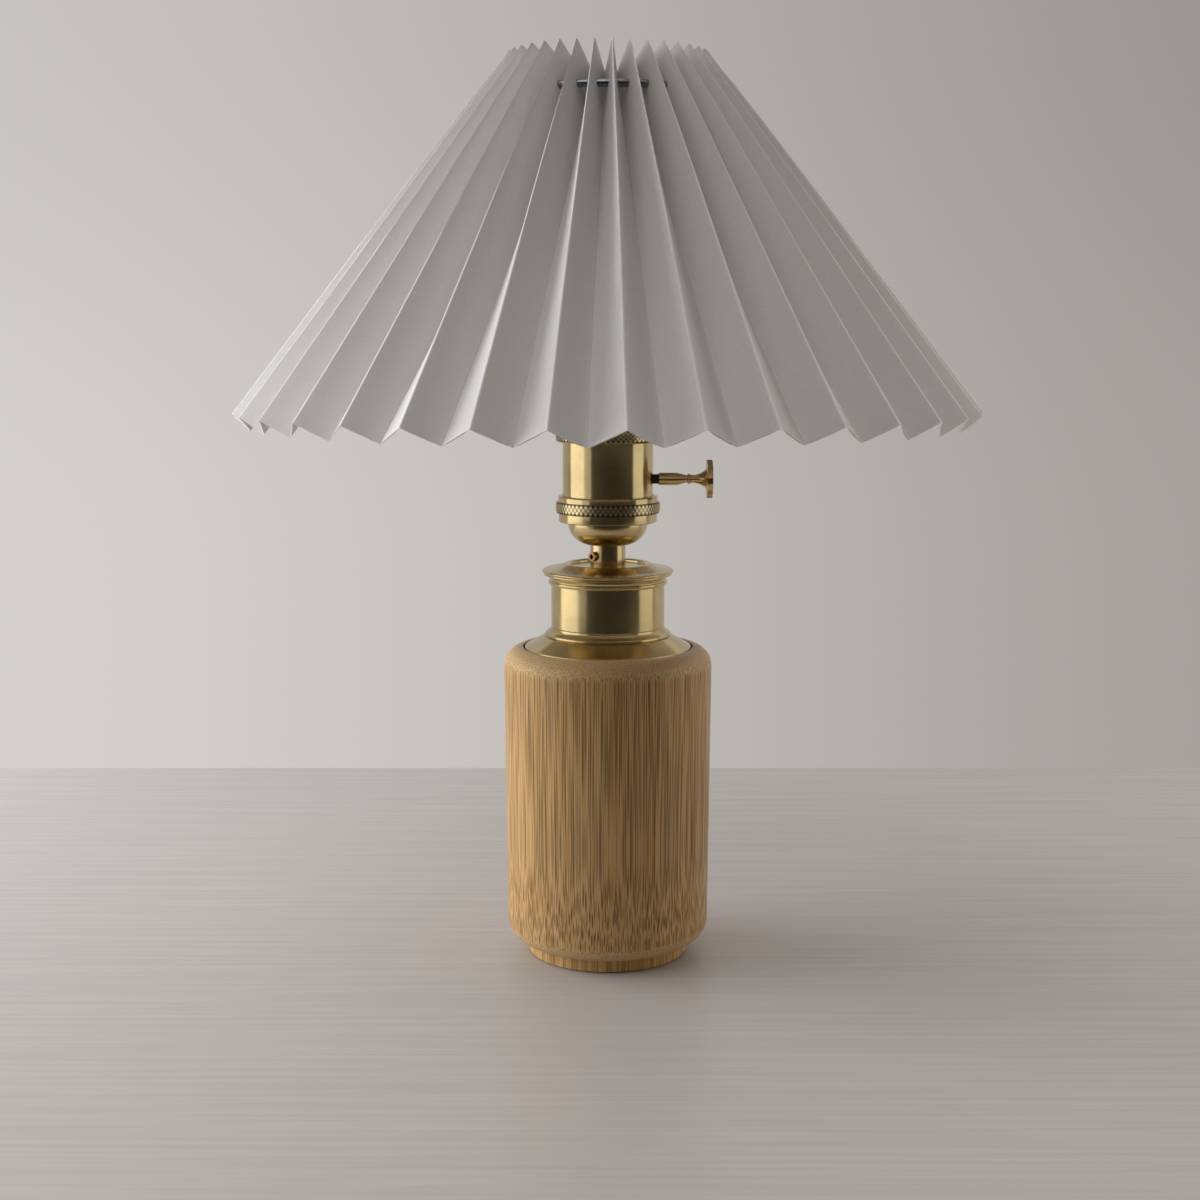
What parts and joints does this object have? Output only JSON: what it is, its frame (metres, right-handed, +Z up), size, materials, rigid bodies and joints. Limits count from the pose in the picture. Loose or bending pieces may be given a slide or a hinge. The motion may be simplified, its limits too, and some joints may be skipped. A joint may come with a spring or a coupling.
{
  "type": "cordless table lamp",
  "caption": "Cordless table lamp with a turned bamboo base, brass neck and lampholder, side dimmer knob and a conical pleated shade on a wire carrier.",
  "frame": {"origin": "on the table, under the middle of the base", "axes": "+Z up along the lamp's axis, +X towards the dimmer knob, +Y towards the charging port at the rear"},
  "size_m": [0.3058, 0.3058, 0.3738],
  "materials": {
    "bamboo": "fine vertical bamboo grain, satin oil",
    "bamboo_foot": "yellower bamboo edge grain, satin",
    "brass": "satin brushed round the axis",
    "knob_brass": "slightly darker satin brass",
    "contact_brass": "pressed sheet",
    "zinc_steel": "zinc plated",
    "wire_steel": "galvanised wire",
    "nickel": "nickel plated",
    "pad_rubber": "matt silicone",
    "cell_sleeve": "plain blue shrink sleeve",
    "black_plastic": "fine moulded texture",
    "board_green": "solder mask",
    "light_pipe": "clear moulded",
    "lead_red": "soft insulation",
    "lead_black": "soft insulation",
    "porcelain": "glazed",
    "white_plastic": "moulded",
    "emitter_white": "white coated board with yellow diodes",
    "opal": "frosted opal",
    "shade_sheet": "matt off-white fibrous sheet, sharp folds"
  },
  "bodies": {
    "stand": {"bamboo_body": "bamboo", "base_plate": "bamboo_foot", "base_screws": "zinc_steel", "battery_cells": "cell_sleeve", "battery_lead_negative": "lead_black", "battery_lead_positive": "lead_red", "bulb_cap": "nickel", "bulb_collar": "white_plastic", "bulb_contact": "nickel", "bulb_emitter": "emitter_white", "bulb_globe": "opal", "bulb_insulator": "black_plastic", "carrier_legs": "wire_steel", "carrier_ring": "wire_steel", "carrier_washer": "wire_steel", "cell_cradle_lower": "black_plastic", "cell_cradle_upper": "black_plastic", "cell_strip": "nickel", "centre_contact": "contact_brass", "charge_board": "board_green", "charge_light": "light_pipe", "collar_flange": "brass", "coupling_ring": "brass", "cradle_screws": "zinc_steel", "dimmer_module": "black_plastic", "foot_pad": "pad_rubber", "lamp_nipple": "zinc_steel", "neck_cap": "brass", "neck_sleeve": "brass", "nipple_nut": "zinc_steel", "nipple_washer": "zinc_steel", "pleated_shade": "shade_sheet", "port_bezel": "black_plastic", "screw_shell": "contact_brass", "set_screw": "knob_brass", "shade_lock_ring": "brass", "shade_seat_ring": "brass", "socket_cap": "brass", "socket_core": "porcelain", "socket_shell": "brass", "supply_lead_negative": "lead_black", "supply_lead_positive": "lead_red", "usb_socket": "nickel"},
    "dimmer": {"dimmer_knob": "knob_brass", "dimmer_spindle": "black_plastic"}
  },
  "joints": [
    {"name": "dimmer_turn", "type": "hinge", "parent": "stand", "child": "dimmer", "pos_m": [0.03, 0, 0.20235], "axis": [-1, 0, 0], "range_deg": [0, 300]}
  ]
}
